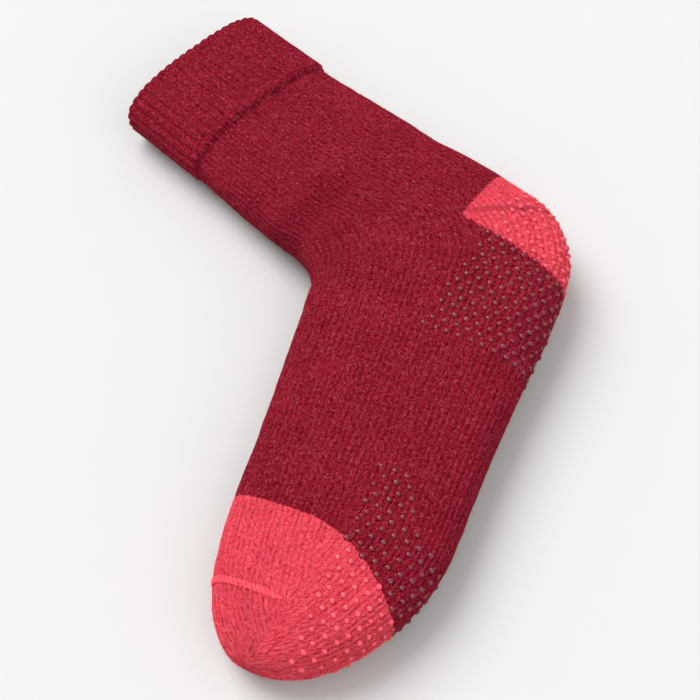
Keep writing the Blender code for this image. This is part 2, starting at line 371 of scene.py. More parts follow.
def ring_frame(rows, kind, place, inset):
    """Centre, half height vector, half thickness and rise of the middle above the floor of one ring."""
    if kind == "toe":
        back = (TOE_LENGTH - inset) * (1 - math.cos(place * math.pi / 2))
        sole, top, thickness = profile(rows, place_at(rows, inset + back))
        low = rounding(back, TOE_LENGTH - inset, TOE_SOLE_SQUARENESS)
        high = rounding(back, TOE_LENGTH - inset, TOE_TOP_SQUARENESS)
        thin = rounding(back, TOE_NOSE, 2)
        middle = sole + (top - sole) * TIP_RISE
    else:
        sole, top, thickness = profile(rows, place)
        low = high = thin = 1
        middle = sole
    inward = unit(top - sole) * inset
    sole = middle + (sole + inward - middle) * low
    top = middle + (top - inward - middle) * high
    return (sole + top) / 2, (top - sole) / 2, (thickness / 2 - inset) * thin, thickness / 2 - SETTLE


def section_points(rows, kind, place, inset, angle):
    """Points of a ring at angles from the middle of the sole, flattened on the floor."""
    centre, half_height, half_thickness, rise = ring_frame(rows, kind, place, inset)
    up = -np.cos(angle)
    side = np.sin(angle)
    power = np.where(up < 0, 2 / SOLE_SQUARENESS, 2 / TOP_SQUARENESS)
    towards_top = np.sign(up) * np.abs(up) ** power
    to_side = np.sign(side) * np.abs(side) ** power
    flat = centre + half_height * towards_top[:, None]
    return np.column_stack((flat, np.maximum(rise + half_thickness * to_side, inset)))


def even_ring(rows, kind, place, inset):
    """A ring of points at equal steps round the girth, and the girth."""
    fine = section_points(rows, kind, place, inset, np.linspace(0, 2 * math.pi, FINE + 1))
    length = run_along(fine)
    even = np.linspace(0, length[-1], AROUND, endpoint=False)
    return np.column_stack([np.interp(even, length, fine[:, axis]) for axis in range(3)]), length[-1]


def body_places(rows, count):
    """Places of rings at equal steps of cloth from the toe to the collar, with the cuff's step kept."""
    fine = np.linspace(place_at(rows, TOE_LENGTH), len(rows) - 1, PLACE_STEPS)
    lines = [profile(rows, place) for place in fine]
    length = np.zeros(len(fine))
    for share in (0.0, 0.5, 1.0):
        length += run_along(np.array([sole + (top - sole) * share for sole, top, thickness in lines])) / 3
    even = list(np.interp(np.linspace(0, length[-1], count + 1), length, fine)[1:])
    kept = [row_number(rows, name) for name in ("leg end", "cuff start")]
    return sorted(set(even + [float(row) for row in kept] + [row + 0.5 for row in kept[:1]]))


def skin(rows, inset, toe_rings, body_rings):
    """Points of every ring and the girths, from the toe to the collar."""
    places = [("toe", (step + 1) / toe_rings) for step in range(toe_rings)]
    places += [("row", place) for place in body_places(rows, body_rings)]
    rings, girths = zip(*[even_ring(rows, kind, place, inset) for kind, place in places])
    return np.array(rings), np.array(girths), places


def outward(points):
    """Unit normals of a grid of rings."""
    along = np.gradient(points, axis=0)
    around = np.roll(points, -1, axis=1) - np.roll(points, 1, axis=1)
    return unit(np.cross(along, around))


def smooth_random(seed, shape, passes):
    """Random values from -1 to 1 that change slowly along the first axis."""
    values = np.random.default_rng(seed).normal(size=shape)
    for step in range(passes):
        values = (np.roll(values, 1, axis=0) + 2 * values + np.roll(values, -1, axis=0)) / 4
    return np.clip(values / values.std() / 2, -1, 1)


def creases():
    """The cloth's folds, placed in the slack sock's own X and Y."""
    return [
        # where it lies, start, end, half width, height (a trough is less than 0)
        ("bend, lowest", (0.163, 0.099), (0.203, 0.080), 0.0060, -0.0021),
        ("bend, roll", (0.168, 0.106), (0.207, 0.090), 0.0055, 0.0012),
        ("bend, middle", (0.173, 0.114), (0.216, 0.098), 0.0058, -0.0024),
        ("bend, upper roll", (0.180, 0.124), (0.220, 0.110), 0.0060, 0.0010),
        ("bend, upper", (0.184, 0.134), (0.226, 0.122), 0.0062, -0.0014),
        ("back of the ankle", (0.252, 0.078), (0.232, 0.086), 0.0070, -0.0010),
        ("leg", (0.206, 0.150), (0.262, 0.134), 0.0090, -0.0009),
        ("side of the foot", (0.095, 0.034), (0.165, 0.050), 0.0150, -0.0012),
        ("instep", (0.075, 0.070), (0.150, 0.078), 0.0110, 0.0007),
        ("over the toes", (0.030, 0.060), (0.062, 0.068), 0.0090, -0.0008),
        ("heel", (0.212, 0.030), (0.236, 0.014), 0.0100, 0.0008),
    ]


def crease_height(points):
    """How far the folds lift or sink the cloth at each point."""
    height = np.zeros(points.shape[:2])
    for where, start, end, width, lift in creases():
        start = np.array(start)
        run = np.array(end) - start
        from_start = points[..., :2] - start
        share = np.clip((from_start @ run) / (run @ run), 0, 1)
        away = np.linalg.norm(from_start - share[..., None] * run, axis=2)
        # strongest near the fold's middle
        fade = 0.45 + 0.55 * np.sin(math.pi * (0.15 + 0.8 * share))
        height += lift * np.exp(-((away / width) ** 2)) * fade
    return height


def across_line(points, start, end):
    """Distance of points to the right of a line in the plane, seen from start to end."""
    way = (end - start).normalized()
    away = points[..., :2] - np.array(start)
    return away[..., 0] * way.y - away[..., 1] * way.x


def toe_side(points):
    """How far points lie inside the coral toe."""
    bow = np.maximum(TOE_EDGE_FROM - points[..., 1], 0)
    return TOE_EDGE_AT - TOE_EDGE_BOW * bow**2 - points[..., 0]


def heel_sides(points):
    """How far points lie inside the coral heel, from its edge on the foot and from its edge on the leg."""
    foot = -across_line(points, HEEL_APEX, HEEL_EDGE_SOLE)
    leg = across_line(points, HEEL_APEX, HEEL_EDGE_BACK)
    return foot, leg


def stitch_numbers(points, girths, places, rows):
    """Wale and course numbers of every ring point, and the last ring of the toe pocket.

    Wales are counted from the middle of the sole on both sides. In the toe those of the sole and the top
    keep their width, so the narrowing meets in a gore at each side.
    """
    count = len(points)
    step = np.arange(AROUND)
    folded = np.minimum(step, AROUND - step) / AROUND
    toe_rings = [index for index in range(count) if places[index][0] == "toe"]
    base = max(index for index in toe_rings if points[index, 0, 0] < TOE_EDGE_AT)
    pitch = girths[base] / WALES
    wale = np.tile(folded * WALES, (count, 1))
    from_sole = folded[None, :] * girths[: base + 1, None] / pitch
    from_top = WALES / 2 - (0.5 - folded[None, :]) * girths[: base + 1, None] / pitch
    wale[: base + 1] = np.where(folded[None, :] <= 0.25, from_sole, from_top)
    path = run_along(points)
    from_toe = path - path[base]
    from_collar = path[-1] - path
    whole = (path[-1] - path[base])[AROUND // 4]
    start, mitre, end = [row_number(rows, name) for name in ("waist", "heel round", "high leg")]
    row = np.array([place if kind == "row" else 0.0 for kind, place in places])
    share = np.clip((row - start) / (end - start), 0, 1)
    blend = (share * share * (3 - 2 * share))[:, None]
    sharp = (row > mitre - MITRE_LEAD).astype(float)[:, None]
    turned = np.where(folded[None, :] < MITRE_REACH, sharp, blend)
    course = (from_toe * (1 - turned) + (whole - from_collar) * turned) / COURSE
    return wale, course, base


def knit_relief(points, wale, girths, places, rows):
    """The outer cloth folded and raised into wales and ribs, and the folded cloth before that relief."""
    normal = outward(points)
    # the side that the sock lies on has no folds
    upper = np.clip(0.55 + normal[..., 2] * 2, 0, 1)
    points = points + normal * (crease_height(points) * upper)[..., None]
    normal = outward(points)
    row = np.array([place if kind == "row" else 0.0 for kind, place in places])
    cuff = np.clip(row - row_number(rows, "leg end"), 0, 1)[:, None]
    grown = np.clip(girths / RELIEF_GIRTH - RELIEF_START, 0, 1)[:, None]
    ridge = RIDGE * (np.abs(np.sin(math.pi * wale)) ** WALE_ROUNDNESS - RIDGE_MEAN) * grown
    rib = RIB_RIDGE * (np.abs(np.sin(math.pi * wale / WALES_PER_RIB)) ** RIB_ROUNDNESS - RIDGE_MEAN)
    size = (len(points), WALES)
    rope = smooth_random(3, size, passes=1) * ROPE + smooth_random(4, size, passes=9) * ROPE
    stray = smooth_random(5, size, passes=10) * WANDER + smooth_random(6, size, passes=3) * WANDER / 2
    rope = np.repeat(rope, STEPS_PER_WALE, axis=1)
    stray = np.repeat(stray, STEPS_PER_WALE, axis=1)
    height = ridge * (1 - cuff) + rib * cuff + rope * grown * (1 - CUFF_CALM * cuff)
    around = unit(np.roll(points, -1, axis=1) - np.roll(points, 1, axis=1))
    shaped = points + normal * height[..., None] + around * (stray * grown)[..., None]
    foot, leg = heel_sides(points)
    gore = np.exp(-(((foot - leg) / GORE_WIDTH) ** 2)) * (np.minimum(foot, leg) > -GORE_REACH)
    shaped -= normal * (GORE_DEPTH * gore)[..., None]
    shaped[..., 2] = np.maximum(shaped[..., 2], KNIT_CLEAR)
    return shaped, points


def rim_rings(outer, inner):
    """Rings that round the collar's rim from the outer skin over to the inner one."""
    axis = leg_frame()[1]
    rings = []
    for step in range(1, RIM_RINGS + 1):
        turn = math.pi * step / (RIM_RINGS + 1)
        share = (1 - math.cos(turn)) / 2
        lift = np.append(axis, 0) * (WALL * RIM_LIFT * math.sin(turn))
        rings.append(outer * (1 - share) + inner * share + lift)
    return np.array(rings)


def grid_faces(rings):
    """Quads of a grid of closed rings, facing outward."""
    ring, step = np.meshgrid(np.arange(rings - 1), np.arange(AROUND), indexing="ij")
    here = ring * AROUND + step
    after = ring * AROUND + (step + 1) % AROUND
    return np.stack((here, here + AROUND, after + AROUND, after), axis=2).reshape(-1, 4)


def place_on_cad(points):
    """Moves points from the sock's own X and Y onto the CAD model."""
    return points + np.array((SHIFT.x, SHIFT.y, 0))


def new_piece(name, points, faces, materials, nodes=()):
    """A smooth mesh that rides with the sock."""
    mesh = bpy.data.meshes.new(name)
    mesh.from_pydata(np.asarray(points).tolist(), [], [list(map(int, face)) for face in faces])
    for material in materials:
        mesh.materials.append(material)
    mesh.shade_smooth()
    piece = bpy.data.objects.new(name, mesh)
    bpy.context.scene.collection.objects.link(piece)
    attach(piece, "root")
    if nodes:
        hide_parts(*nodes)
    return piece


def vertex_values(mesh, name, values):
    layer = mesh.attributes.new(name, "FLOAT", "POINT")
    layer.data.foreach_set("value", np.asarray(values, dtype=np.float32).ravel())


def mark_pockets(mesh, points):
    """Writes how far each point lies inside the coral toe and heel, in millimetres."""
    foot, leg = heel_sides(points)
    vertex_values(mesh, "toe_side", toe_side(points) * 1000)
    vertex_values(mesh, "heel_side", np.minimum(foot, leg) * 1000)


def corner_map(mesh, name, *corners):
    """A UV map from the corners of the quads, then those of the fans at the tips."""
    values = np.concatenate([each.reshape(-1, 2) for each in corners])
    mesh.uv_layers.new(name=name).data.foreach_set("uv", values.astype(np.float32).ravel())


def fan_faces(rings):
    """Triangles from the toe tips of both skins to the first ring and the last one."""
    step = np.arange(AROUND)
    after = (step + 1) % AROUND
    last = (rings - 1) * AROUND
    outer_tip = np.full(AROUND, rings * AROUND)
    outer = np.column_stack((outer_tip, step, after))
    inner = np.column_stack((last + step, outer_tip + 1, last + after))
    return np.concatenate((outer, inner))


def map_stitches(mesh, grid, wale, course, girths, base):
    """Writes the wale and course number at each corner.

    At the toe's gores the count jumps, so faces that start there and faces that end there differ.
    """
    outer = len(wale)
    rings = len(grid)
    wales = np.concatenate((wale, np.tile(wale[-1], (rings - outer, 1))))
    run = run_along(grid[outer - 1 :])[1:] / COURSE
    courses = np.concatenate((course, course[-1] + run))
    from_top = WALES / 2 - (0.25 * girths[: base + 1]) * WALES / girths[base]
    starts = wales.copy()
    starts[: base + 1, AROUND // 4] = from_top
    ends = wales.copy()
    ends[: base + 1, 3 * AROUND // 4] = from_top
    ring, column = np.divmod(np.arange((rings - 1) * AROUND), AROUND)
    following = (column + 1) % AROUND
    quads = np.empty((len(ring), 4, 2))
    edges = ((0, column, starts), (1, column, starts), (1, following, ends), (0, following, ends))
    for corner, (ring_step, line, numbers) in enumerate(edges):
        quads[:, corner, 0] = numbers[ring + ring_step, line]
        quads[:, corner, 1] = courses[ring + ring_step, line]
    fans = np.zeros((2 * AROUND, 3, 2))
    fans[:AROUND, 0] = (wales[0].mean(), courses[0].min() - 1)
    fans[:AROUND, 1:, 0] = np.column_stack((wales[0], np.roll(wales[0], -1)))
    fans[:AROUND, 1:, 1] = courses[0][:, None]
    corner_map(mesh, "Stitches", quads, fans)


def map_layout(mesh, rings):
    """Lays the whole skin out flat, without overlaps, for baking."""
    ring, column = np.divmod(np.arange((rings - 1) * AROUND), AROUND)
    quads = np.empty((len(ring), 4, 2))
    for corner, (ring_step, column_step) in enumerate(((0, 0), (1, 0), (1, 1), (0, 1))):
        quads[:, corner, 0] = (column + column_step) / AROUND
        quads[:, corner, 1] = TIP_ROOM + (1 - 2 * TIP_ROOM) * (ring + ring_step) / (rings - 1)
    step = np.arange(AROUND)
    fans = np.empty((2 * AROUND, 3, 2))
    fans[:AROUND, :, 0] = np.column_stack((step + 0.5, step, step + 1)) / AROUND
    fans[:AROUND, :, 1] = (0.0, TIP_ROOM, TIP_ROOM)
    fans[AROUND:, :, 0] = np.column_stack((step, step + 0.5, step + 1)) / AROUND
    fans[AROUND:, :, 1] = (1 - TIP_ROOM, 1.0, 1 - TIP_ROOM)
    corner_map(mesh, "OFBake", quads, fans)


def knit_piece(rows, knit, terry):
    """The whole knitted sock: outer cloth, rim of the collar and terry inside, as one hollow body."""
    outer, girths, places = skin(rows, 0.0, TOE_RINGS, BODY_RINGS)
    wale, course, base = stitch_numbers(outer, girths, places, rows)
    shaped, cloth = knit_relief(outer, wale, girths, places, rows)
    inner = skin(rows, WALL, INNER_RINGS // 4, INNER_RINGS)[0][::-1]
    grid = np.concatenate((shaped, rim_rings(shaped[-1], inner[0]), inner))
    rings = len(grid)
    tips = [(x, ring[:, 1].mean(), ring[:, 2].mean()) for x, ring in ((0.0, outer[0]), (WALL, inner[-1]))]
    points = np.concatenate((grid.reshape(-1, 3), np.array(tips)))
    quads = grid_faces(rings).tolist()
    fans = fan_faces(rings).tolist()
    piece = new_piece("knitted_sock", place_on_cad(points), quads + fans, [knit, terry], ["knit_body"])
    map_stitches(piece.data, grid, wale, course, girths, base)
    map_layout(piece.data, rings)
    mark_pockets(piece.data, points)
    inside = np.zeros(len(quads) + len(fans), dtype=np.int32)
    inside[(len(shaped) + RIM_RINGS - 1) * AROUND : len(quads)] = 1
    inside[len(quads) + AROUND :] = 1
    piece.data.polygons.foreach_set("material_index", inside)
    return cloth, shaped


def crossing(cloth, normal, x, side):
    """Where the upright plane at x cuts the cloth, from the middle of the sole up one side.

    Gives a point and a normal in each row, and the run along the cloth to each.
    """
    line = []
    for step in range(AROUND // 4 + 1):
        column = side * step % AROUND
        past = np.flatnonzero(cloth[:, column, 0] >= x)
        if not len(past) or past[0] == 0:
            continue
        ring = past[0]
        before = cloth[ring - 1, column]
        after = cloth[ring, column]
        share = (x - before[0]) / (after[0] - before[0])
        facing = normal[ring - 1, column] * (1 - share) + normal[ring, column] * share
        line.append(np.concatenate((before * (1 - share) + after * share, facing)))
    line = np.array(line)
    if len(line) < 2:
        return line, np.zeros(len(line))
    return line, run_along(line[:, :3])


def dot_rows():
    """Each row of the two printed fields: its x, its number, its highest dot, and the field's rear edge.

    The forefoot's rows are laid from its rear edge, which is stepped, and the heel's from its front edge.
    """
    forefoot, heel = [round((end - start) / DOT_ALONG) + 1 for start, end in (FOREFOOT_FIELD, HEEL_FIELD)]
    for row in range(forefoot):
        yield FOREFOOT_FIELD[1] - row * DOT_ALONG, row, FOREFOOT_TOP, FOREFOOT_REAR
    for row in range(heel):
        x = HEEL_FIELD[0] + row * DOT_ALONG
        yield x, row, np.interp(x, HEEL_TOP_PLACES, HEEL_TOP), (FOOT_LENGTH,) * len(FOREFOOT_REAR)


def dot_places(cloth):
    """Middles and normals of the grip dots, in staggered rows across the sole."""
    normal = outward(cloth)
    stray = np.random.default_rng(DOT_STRAY_SEED)
    places = []
    for x, row, highest, rear in dot_rows():
        for side in (1, -1):
            line, run = crossing(cloth, normal, x, side)
            if len(line) < 2:
                continue
            rise = np.maximum.accumulate(line[:, 1])
            if rise[-1] < DOT_BORDER or rise[0] > DOT_BORDER:
                continue
            top = np.interp(highest, rise, run)
            start = np.interp(DOT_BORDER, rise, run) + DOT_ACROSS * DOTS_ABOVE - (row % 2) * DOT_ACROSS / 2
            for at in np.arange(start, DOT_MIDDLE_ROOM, -DOT_ACROSS):
                border = np.interp(np.interp(at, run, rise), FOREFOOT_REAR_HEIGHTS, rear)
                if at > top + DOT_TOP_SLACK or x > border + DOT_REAR_SLACK:
                    continue
                here = np.array([np.interp(at, run, line[:, axis]) for axis in range(6)])
                here[:2] += stray.normal(size=2) * DOT_STRAY
                places.append(here)
    return np.array(places)


def dot_piece(cloth, silicone):
    """Every grip dot as one mesh of low closed domes."""
    stray = np.random.default_rng(DOT_SIZE_SEED)
    turn = np.linspace(0, 2 * math.pi, DOT_SIDES, endpoint=False)
    levels = [(1.0, -DOT_SINK)] + [(share, DOT_HEIGHT * rise) for share, rise in DOT_PROFILE]
    points = []
    faces = []
    for here in dot_places(cloth):
        out = unit(here[3:])
        along = unit(np.cross((0, 0, 1), out) if abs(out[2]) < 0.9 else np.cross(out, (0, 1, 0)))
        across = np.cross(out, along)
        size = DOT_RADIUS * stray.uniform(*DOT_SIZES)
        long = size * stray.uniform(*DOT_LENGTHS)
        wide = size * stray.uniform(*DOT_WIDTHS)
        first = len(points)
        for share, height in levels:
            for angle in turn:
                reach = along * (math.cos(angle) * long * share)
                spread = across * (math.sin(angle) * wide * share)
                points.append(here[:3] + reach + spread + out * height)
        points.append(here[:3] - out * DOT_SINK)
        points.append(here[:3] + out * DOT_HEIGHT)
        for step in range(DOT_SIDES):
            after = (step + 1) % DOT_SIDES
            faces.append((len(points) - 2, first + after, first + step))
            for level in range(len(levels) - 1):
                low = first + level * DOT_SIDES
                high = low + DOT_SIDES
                faces.append((low + step, low + after, high + after, high + step))
            crown = first + (len(levels) - 1) * DOT_SIDES
            faces.append((crown + step, crown + after, len(points) - 1))
    points = np.array(points)
    points[:, 2] = np.maximum(points[:, 2], 0)
    piece = new_piece("grip_dots", place_on_cad(points), faces, [silicone])
    per_dot = len(levels) * DOT_SIDES + 2
    middles = points.reshape(-1, per_dot, 3)[:, -1]
    mark_pockets(piece.data, np.repeat(middles, per_dot, axis=0))
    rim = np.concatenate([[share] * DOT_SIDES for share, height in levels] + [[1.0, 0.0]])
    vertex_values(piece.data, "rim", np.tile(rim, len(middles)))


def fuzz_piece(name, shaped, material, seed, count, long):
    """Fibres of the brushed nap that stand off the cloth: thin three-sided hairs with one bend."""
    chance = np.random.default_rng(seed)
    normal = outward(shaped)
    side = np.linalg.norm(np.diff(shaped, axis=0), axis=2)
    area = side * np.linalg.norm(np.roll(shaped, -1, axis=1) - shaped, axis=2)[:-1]
    cells = chance.choice(area.size, size=count, p=(area / area.sum()).ravel())
    ring, column = np.divmod(cells, AROUND)
    root = shaped[ring, column]
    root = root + (shaped[ring + 1, (column + 1) % AROUND] - root) * chance.random((count, 1))
    out = normal[ring, column]
    along = unit(shaped[ring + 1, column] - shaped[ring, column])
    across = np.cross(out, along)
    lean = chance.normal(size=(count, 2)) * FIBRE_LEAN
    way = along * lean[:, :1] + across * lean[:, 1:]
    curl = (along * chance.normal(size=(count, 1)) + across * chance.normal(size=(count, 1))) * FIBRE_CURL
    length = chance.uniform(*FIBRE_LENGTHS, (count, 1)) * long
    rise = chance.uniform(*FIBRE_RISES, (count, 1)) * length
    root = root - out * FIBRE_ROOT
    middle = root + out * rise * FIBRE_BEND_RISE + way * length * FIBRE_BEND_REACH
    tip = root + out * rise + (way * FIBRE_TIP_REACH + curl) * length
    thick = chance.uniform(*FIBRE_WEIGHTS, (count, 1)) * FIBRE_THICKNESS
    flank = unit(np.cross(out, way + along * 0.01))
    corners = (flank, -flank * 0.5 + out * 0.9, -flank * 0.5 - out * 0.9)
    points = [root + corner * thick for corner in corners]
    points += [middle + corner * thick * FIBRE_BEND_THICKNESS for corner in corners]
    points = np.stack(points + [tip], axis=1)
    points[..., 2] = np.maximum(points[..., 2], FIBRE_CLEAR)
    starts = range(0, FIBRE_POINTS * count, FIBRE_POINTS)
    faces = [[start + corner for corner in face] for start in starts for face in FIBRE_FACES]
    piece = new_piece(name, place_on_cad(points.reshape(-1, 3)), faces, [material])
    mark_pockets(piece.data, np.repeat(root, FIBRE_POINTS, axis=0))
    vertex_values(piece.data, "fibre", np.repeat(chance.random(count), FIBRE_POINTS))


def seam_piece(rows, yarn):
    """The linked seam over the top of the toes: a flat cord with a row of stitches over it."""
    share = math.acos(1 - SEAM_FROM_TIP / TOE_LENGTH) / (math.pi / 2)
    angle = np.linspace(SEAM_START, SEAM_END, SEAM_STEPS + 1)
    here = section_points(rows, "toe", share, 0.0, angle)
    behind = section_points(rows, "toe", share + SEAM_BEHIND, 0.0, angle)
    along = unit(np.gradient(here, axis=0))
    out = unit(np.cross(behind - here, along))
    across = np.cross(along, out)
    run = run_along(here)
    radius = SEAM_RADIUS * (1 - (1 - SEAM_END_SHARE) * (2 * run / run[-1] - 1) ** SEAM_TAPER)
    centre = here + out * (radius * SEAM_LIFT)[:, None]
    points = []
    grooves = []
    for side in range(SEAM_SIDES):
        turn = 2 * math.pi * side / SEAM_SIDES
        stitch = np.abs(np.cos(turn - math.pi * run / SEAM_STITCH))
        grooves.append(1 - stitch)
        way = out * (math.cos(turn) * SEAM_FLATNESS) + across * (math.sin(turn) * SEAM_WIDTH)
        points.append(centre + way * (radius * (SEAM_GROOVE + SEAM_SWELL * stitch))[:, None])
    faces = []
    for step in range(SEAM_STEPS):
        for side in range(SEAM_SIDES):
            near = step * SEAM_SIDES + side
            beside = step * SEAM_SIDES + (side + 1) % SEAM_SIDES
            faces.append((near, beside, beside + SEAM_SIDES, near + SEAM_SIDES))
    faces.append(tuple(range(SEAM_SIDES))[::-1])
    faces.append(tuple(range(SEAM_STEPS * SEAM_SIDES, (SEAM_STEPS + 1) * SEAM_SIDES)))
    points = place_on_cad(np.stack(points, axis=1).reshape(-1, 3))
    piece = new_piece("toe_seam_cord", points, faces, [yarn], ["toe_seam"])
    vertex_values(piece.data, "groove", np.stack(grooves, axis=1))


class Recipe:
    """Shorthand for building a node tree."""

    def __init__(self, tree):
        self.tree = tree

    def node(self, kind, **settings):
        made = self.tree.nodes.new(kind)
        for name, value in settings.items():
            setattr(made, name, value)
        return made

    def feed(self, node, name, value):
        socket = node.inputs[name]
        if isinstance(value, bpy.types.NodeSocket):
            self.tree.links.new(value, socket)
        else:
            socket.default_value = value

    def fed_node(self, kind, names, values, **settings):
        made = self.node(kind, **settings)
        for name, value in zip(names, values):
            self.feed(made, name, value)
        return made

    def math(self, kind, *values):
        return self.fed_node("ShaderNodeMath", range(len(values)), values, operation=kind).outputs[0]

    def plus(self, first, second):
        return self.math("ADD", first, second)

    def minus(self, first, second):
        return self.math("SUBTRACT", first, second)

    def times(self, first, second):
        return self.math("MULTIPLY", first, second)

    def spread(self, value, low, high, to_low=0.0, to_high=1.0):
        names = ("Value", "From Min", "From Max", "To Min", "To Max")
        values = (value, low, high, to_low, to_high)
        made = self.fed_node("ShaderNodeMapRange", names, values, interpolation_type="SMOOTHSTEP")
        return made.outputs["Result"]

    def noise(self, vector, scale, detail=3.0, rough=0.55, twist=0.0):
        names = ("Vector", "Scale", "Detail", "Roughness", "Distortion")
        return self.fed_node("ShaderNodeTexNoise", names, (vector, scale, detail, rough, twist)).outputs[0]

    def vector(self, x, y, z):
        return self.fed_node("ShaderNodeCombineXYZ", "XYZ", (x, y, z)).outputs[0]

    def split(self, vector):
        """The X, Y and Z of a vector."""
        return self.fed_node("ShaderNodeSeparateXYZ", ("Vector",), (vector,)).outputs

    def mix(self, share, first, second, kind="MIX"):
        """A mix of two colours, which are inputs 6 and 7 of this node."""
        values = (share, first, second)
        made = self.fed_node("ShaderNodeMix", (0, 6, 7), values, data_type="RGBA", blend_type=kind)
        return made.outputs[2]

    def attribute(self, name):
        return self.node("ShaderNodeAttribute", attribute_name=name).outputs["Fac"]

    def place(self):
        return self.node("ShaderNodeTexCoord").outputs["Object"]


def group(name, inputs, outputs):
    """A shader node group with its sockets, and its recipe, inlet and outlet."""
    tree = bpy.data.node_groups.new(name, "ShaderNodeTree")
    for socket, kind, value in inputs:
        made = tree.interface.new_socket(socket, in_out="INPUT", socket_type=kind)
        made.default_value = value
    for socket, kind in outputs:
        tree.interface.new_socket(socket, in_out="OUTPUT", socket_type=kind)
    recipe = Recipe(tree)
    return tree, recipe, recipe.node("NodeGroupInput").outputs, recipe.node("NodeGroupOutput")


def brushed_stitches():
    """Relief of brushed stitches: rounded wales, the legs of each stitch, and nap combed along the wales.

    The gap mask marks where painted shade darkens the places between the yarns and the pits of the nap.
    Streak goes from hollow to brushed-up fibre, and it sets where painted shade and painted highlight
    fall.
    """
    inputs = [(name, "NodeSocketFloat", 0.0) for name in ("Wale", "Course", "Nap")]
    outputs = [(name, "NodeSocketFloat") for name in ("Height", "Gap", "Streak")]
    tree, nodes, given, put = group("Brushed stitches", inputs, outputs)
    wale = given["Wale"]
    course = given["Course"]
    depth = nodes.times(nodes.split(nodes.place())["Z"], 220.0)

    def over(across, along):
        """A place in the cloth, scaled across and along its wales."""
        return nodes.vector(nodes.times(wale, across), nodes.times(course, along), depth)

    # stitches stray from straight wales, and their legs curl
    wander = nodes.minus(nodes.noise(over(0.35, 0.16), 1.0, detail=2.0), 0.5)
    curl = nodes.minus(nodes.noise(over(1.6, 0.75), 1.0, detail=2.0), 0.5)
    moved = nodes.plus(wale, nodes.plus(nodes.times(wander, 0.6), nodes.times(curl, 0.75)))
    gap = nodes.times(nodes.math("ABSOLUTE", nodes.minus(nodes.math("FRACT", moved), 0.5)), 2.0)
    crest = nodes.minus(1.0, nodes.math("POWER", gap, 2.2))
    bowed = nodes.plus(course, nodes.plus(nodes.times(gap, 0.7), nodes.times(curl, 1.6)))
    legs = nodes.math("MULTIPLY_ADD", nodes.math("SINE", nodes.times(bowed, 2 * math.pi)), 0.5, 0.5)

    # the nap, and the painted shade in the pits and holes that it leaves open
    streak = nodes.noise(over(2.9, 1.25), 1.0, detail=4.0, rough=0.66, twist=1.1)
    fine = nodes.noise(over(5.6, 3.0), 1.0, detail=3.0, rough=0.66, twist=0.9)
    hole = nodes.noise(over(1.7, 0.95), 1.0, detail=2.0, rough=0.6)
    shaded_gaps = nodes.times(nodes.spread(gap, 0.40, 1.0), nodes.spread(hole, 0.40, 0.58, 0.25, 1.0))
    pit_shade = nodes.times(nodes.spread(streak, 0.47, 0.34), 0.8)
    fine_pit_shade = nodes.times(nodes.spread(fine, 0.46, 0.33), 0.8)
    pit_shade = nodes.math("MAXIMUM", pit_shade, fine_pit_shade)

    napped = nodes.times(nodes.plus(streak, fine), given["Nap"])
    raised_legs = nodes.times(nodes.times(legs, crest), 0.14)
    height = nodes.plus(nodes.times(crest, 0.20), raised_legs)
    nodes.feed(put, "Height", nodes.plus(height, napped))
    nodes.feed(put, "Gap", nodes.math("MAXIMUM", shaded_gaps, pit_shade))
    nodes.feed(put, "Streak", nodes.plus(nodes.times(streak, 0.8), nodes.times(fine, 0.2)))
    return tree


def pocket_yarn():
    """Burgundy cloth with coral pockets, whose edges step from stitch to stitch."""
    inputs = [
        ("Wale", "NodeSocketFloat", 0.0),
        ("Tooth", "NodeSocketFloat", 1.0),
        ("Burgundy", "NodeSocketColor", BURGUNDY),
        ("Coral", "NodeSocketColor", CORAL),
    ]
    outputs = [("Color", "NodeSocketColor"), ("Coral", "NodeSocketFloat")]
    tree, nodes, given, put = group("Pocket yarn", inputs, outputs)
    swing = nodes.math("ABSOLUTE", nodes.minus(nodes.math("FRACT", given["Wale"]), 0.5))
    tooth = nodes.times(nodes.minus(swing, 0.25), nodes.times(given["Tooth"], 2.0))
    frizz = nodes.noise(nodes.place(), 1100.0, detail=3.0)
    frizz = nodes.times(nodes.minus(frizz, 0.5), 1.3)
    edges = []
    for side, share in (("toe_side", 0.6), ("heel_side", 1.2)):
        shifted = nodes.plus(nodes.attribute(side), nodes.plus(nodes.times(tooth, share), frizz))
        edges.append(nodes.spread(shifted, -0.16, 0.16))
    coral = nodes.math("MAXIMUM", *edges)
    nodes.feed(put, "Color", nodes.mix(coral, given["Burgundy"], given["Coral"]))
    nodes.feed(put, "Coral", coral)
    return tree


